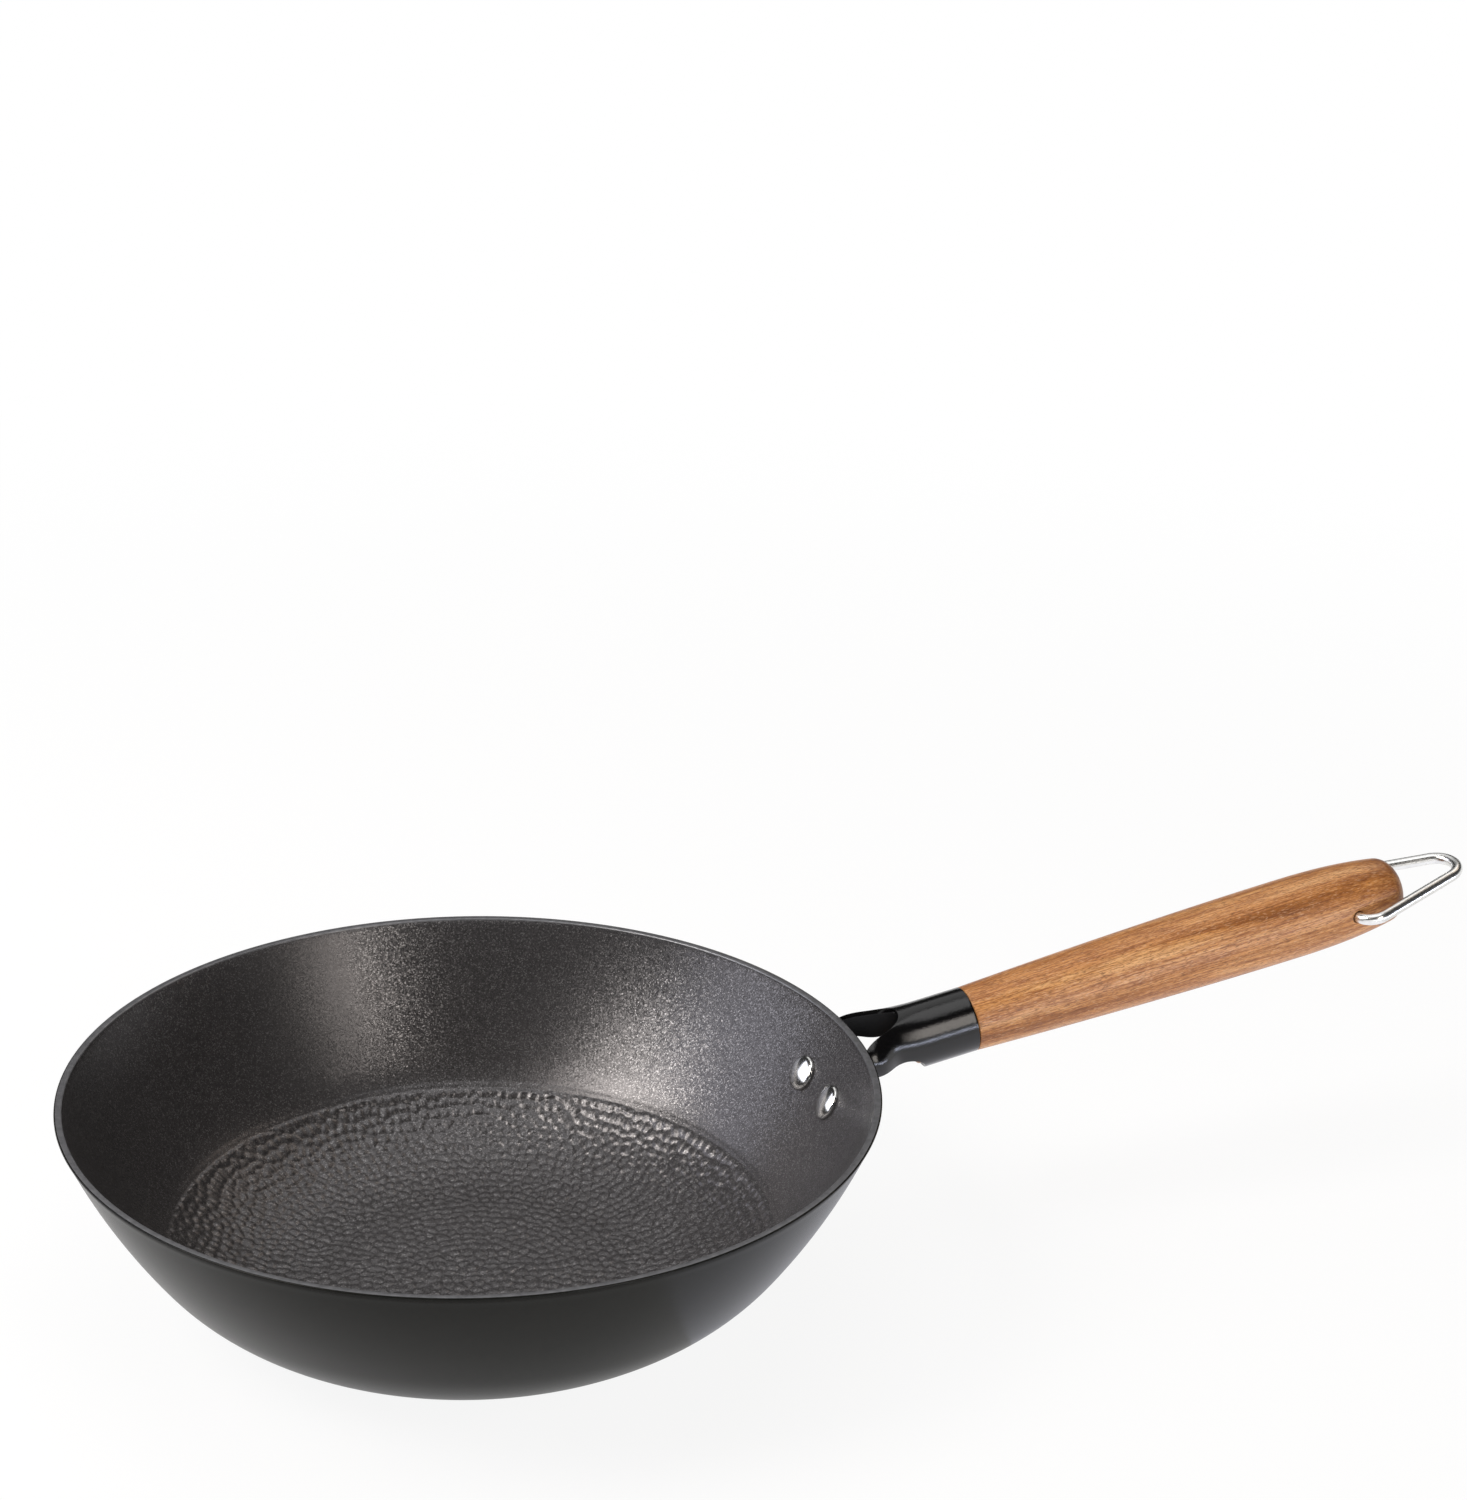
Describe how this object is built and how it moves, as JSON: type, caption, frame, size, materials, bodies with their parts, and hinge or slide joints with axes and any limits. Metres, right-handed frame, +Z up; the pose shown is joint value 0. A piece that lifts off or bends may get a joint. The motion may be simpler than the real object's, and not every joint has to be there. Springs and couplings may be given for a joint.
{
  "type": "wok pan",
  "caption": "Flat-based wok pan with flared wall and hammered floor, forked steel bracket, turned wooden grip and a swinging wire hanging loop.",
  "frame": {"origin": "middle of the flat underside of the bowl, on the surface that the pan stands on", "axes": "+Z up out of the bowl, +X along the handle away from the bowl"},
  "size_m": [0.5576, 0.2996, 0.1193],
  "materials": {
    "bowl_iron": "satin",
    "bracket_black": "gloss",
    "rivet_polished": "polished",
    "grip_wood": "oiled",
    "pin_steel": "plain",
    "bail_polished": "polished"
  },
  "bodies": {
    "pan": {"bowl": "bowl_iron", "handle_bracket": "bracket_black", "rivet_near": "rivet_polished", "rivet_far": "rivet_polished", "wood_grip": "grip_wood", "grip_pin": "pin_steel"},
    "bail": {"hanging_bail": "bail_polished"}
  },
  "joints": [
    {"name": "bail_swing", "type": "hinge", "parent": "pan", "child": "bail", "pos_m": [0.35598, 0, 0.10393], "axis": [0, 1, 0], "range_deg": [-148, 152]}
  ]
}
